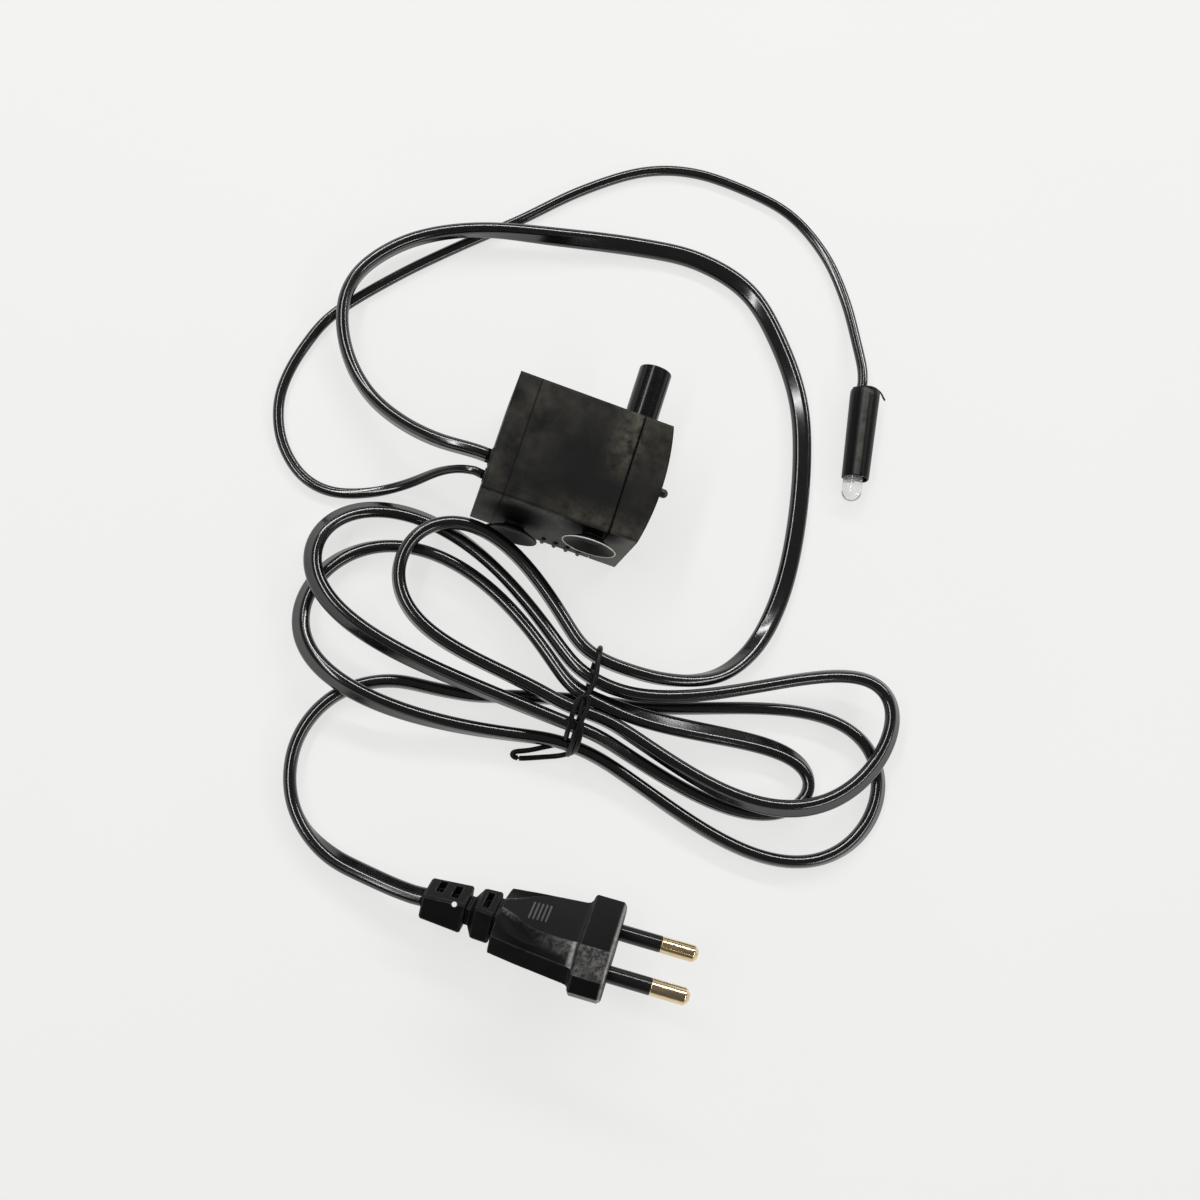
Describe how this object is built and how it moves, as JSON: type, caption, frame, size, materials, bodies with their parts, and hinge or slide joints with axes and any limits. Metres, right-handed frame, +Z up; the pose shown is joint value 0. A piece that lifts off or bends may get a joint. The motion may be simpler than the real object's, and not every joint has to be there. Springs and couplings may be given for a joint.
{
  "type": "fountain submersible pump",
  "caption": "Box-shaped submersible pump with an upright outlet tube, slotted intake cover, suction cups, a lamp on a lead, and a mains lead tied in a hank that ends in a round-pin plug.",
  "frame": {"origin": "middle of the side face that the pump lies on", "axes": "+X from the cords to the intake, +Y along the outlet, +Z up from the table"},
  "size_m": [0.1785, 0.2174, 0.0336],
  "materials": {
    "outlet_plastic": "smooth",
    "housing_plastic": "fine matt",
    "shutter_plastic": "fine matt",
    "rotor_plastic": "plain",
    "ferrite": "ground",
    "shaft_steel": "polished",
    "soft_rubber": "matt",
    "core_steel": "laminated",
    "bobbin_plastic": "plain",
    "copper_wire": "enamelled",
    "resin": "cast",
    "cup_rubber": "satin",
    "cord_pvc": "smooth",
    "tie_plastic": "smooth",
    "plug_pvc": "satin",
    "pin_brass": "turned",
    "sleeve_plastic": "smooth",
    "lamp_clear": "clear"
  },
  "bodies": {
    "pump": {"motor_housing": "housing_plastic", "outlet_tube": "outlet_plastic", "rear_cap": "housing_plastic", "chamber_plate": "housing_plastic", "rotor_shaft": "shaft_steel", "front_bush": "soft_rubber", "rear_bush": "soft_rubber", "stator_core": "core_steel", "coil_bobbin": "bobbin_plastic", "coil_winding": "copper_wire", "inner_leads": "copper_wire", "potting_resin": "resin", "chamber_seal": "soft_rubber", "front_suction_cup": "cup_rubber", "rear_suction_cup": "cup_rubber", "mains_gland": "soft_rubber", "lamp_gland": "soft_rubber", "mains_cord_lead": "cord_pvc", "mains_cord_hank": "cord_pvc", "mains_cord_tail": "cord_pvc", "lamp_cord": "cord_pvc", "twist_tie": "tie_plastic", "plug_body": "plug_pvc", "plug_pins": "pin_brass", "pin_sleeves": "plug_pvc", "lamp_sleeve": "sleeve_plastic", "lamp_seal": "soft_rubber", "lamp_legs": "core_steel", "lamp_led": "lamp_clear"},
    "cover": {"front_cover": "housing_plastic"},
    "shutter": {"flow_shutter": "shutter_plastic"},
    "rotor": {"impeller": "rotor_plastic", "rotor_magnet": "ferrite"}
  },
  "joints": [
    {"name": "rotor_spin", "type": "hinge", "parent": "pump", "child": "rotor", "pos_m": [0, 0.0045, 0.0145], "axis": [1, 0, 0], "continuous": true},
    {"name": "cover_pull", "type": "slide", "parent": "pump", "child": "cover", "axis": [1, 0, 0], "range_m": [0, 0.02]},
    {"name": "shutter_slide", "type": "slide", "parent": "cover", "child": "shutter", "axis": [0, 1, 0], "range_m": [-0.0025, 0]}
  ]
}
